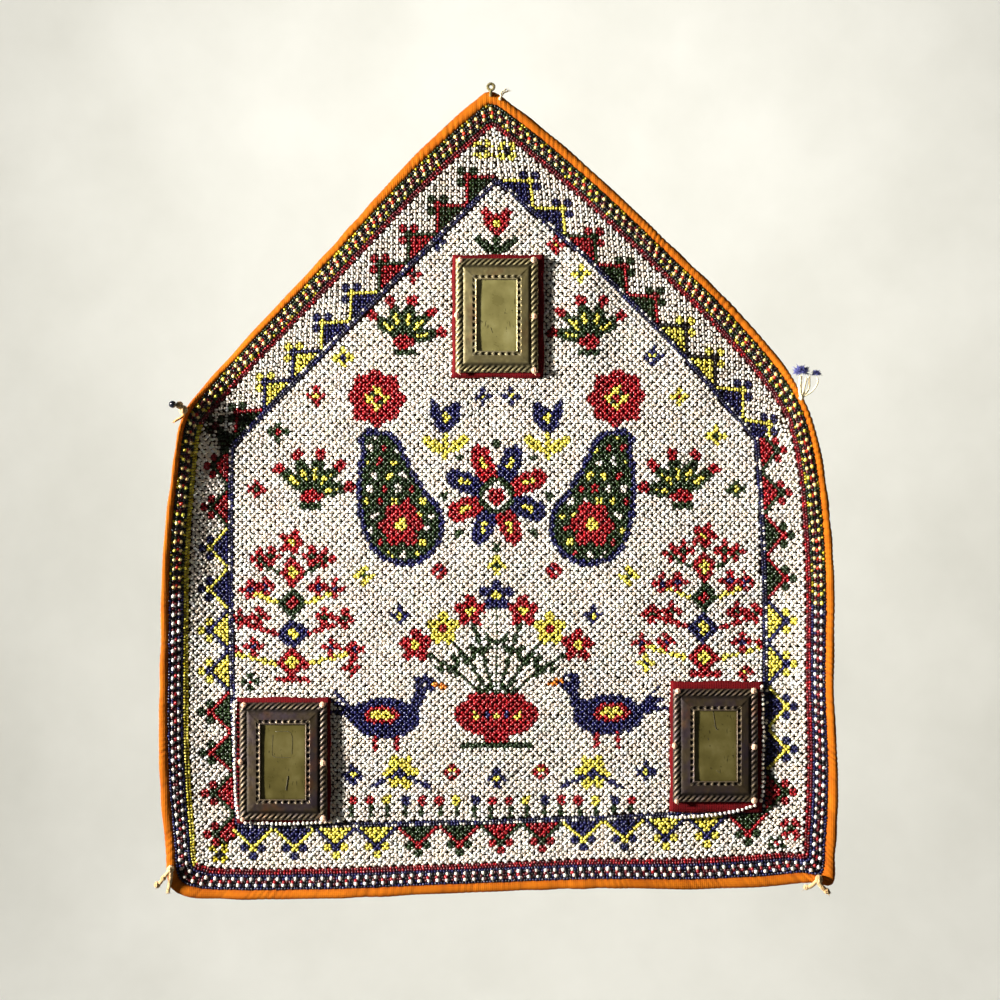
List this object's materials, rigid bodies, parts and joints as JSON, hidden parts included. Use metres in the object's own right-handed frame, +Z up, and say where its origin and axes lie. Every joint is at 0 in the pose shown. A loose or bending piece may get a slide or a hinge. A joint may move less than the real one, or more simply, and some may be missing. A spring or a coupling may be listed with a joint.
{
  "type": "beadwork wall hanging with a hanging loop",
  "caption": "House-shaped beadwork wall hanging: netted beads on cloth, folded binding, framed mirrors on red pads, a hanging loop and corner ties.",
  "frame": {"origin": "the middle of the apex loop's eye, where it hangs from a nail", "axes": "+Z up along the hanging, +X to the right seen from the front, -Y towards the viewer"},
  "size_m": [0.4544, 0.0283, 0.5448],
  "materials": {
    "ground_cotton": "dark brown woven cotton",
    "net_beads": "opaque glass seed beads, glossy, with coloured motifs",
    "rim_beads": "opaque glass seed beads in edge rows, glossy",
    "binding_cotton": "orange cotton, matte and slightly puckered",
    "pad_cloth": "red woven wool, matte",
    "frame_metal": "stamped sheet brass with a dark patina",
    "mirror_glass": "old mirror, grey-green and scratched",
    "tie_thread": "tan cotton cord",
    "cream_cotton": "cream cotton thread",
    "blue_yarn": "blue yarn",
    "dark_bead": "dark blue glass bead, glossy"
  },
  "bodies": {
    "root": {"ground_cloth": "ground_cotton", "field_net": "net_beads", "border_net": "net_beads", "rim_band": "rim_beads", "binding": "binding_cotton", "pad_top": "pad_cloth", "frame_top": "frame_metal", "mirror_top": "mirror_glass", "pad_left": "pad_cloth", "frame_left": "frame_metal", "mirror_left": "mirror_glass", "pad_right": "pad_cloth", "frame_right": "frame_metal", "mirror_right": "mirror_glass", "hanging_loop": "tie_thread", "apex_thread": "cream_cotton", "left_tie_cord": "tie_thread", "left_tie_bead": "dark_bead", "right_tie_cord": "cream_cotton", "right_tie_tuft": "blue_yarn", "right_tie_small_tuft": "blue_yarn", "lower_left_tie": "tie_thread", "lower_right_tie": "tie_thread"}
  },
  "joints": []
}
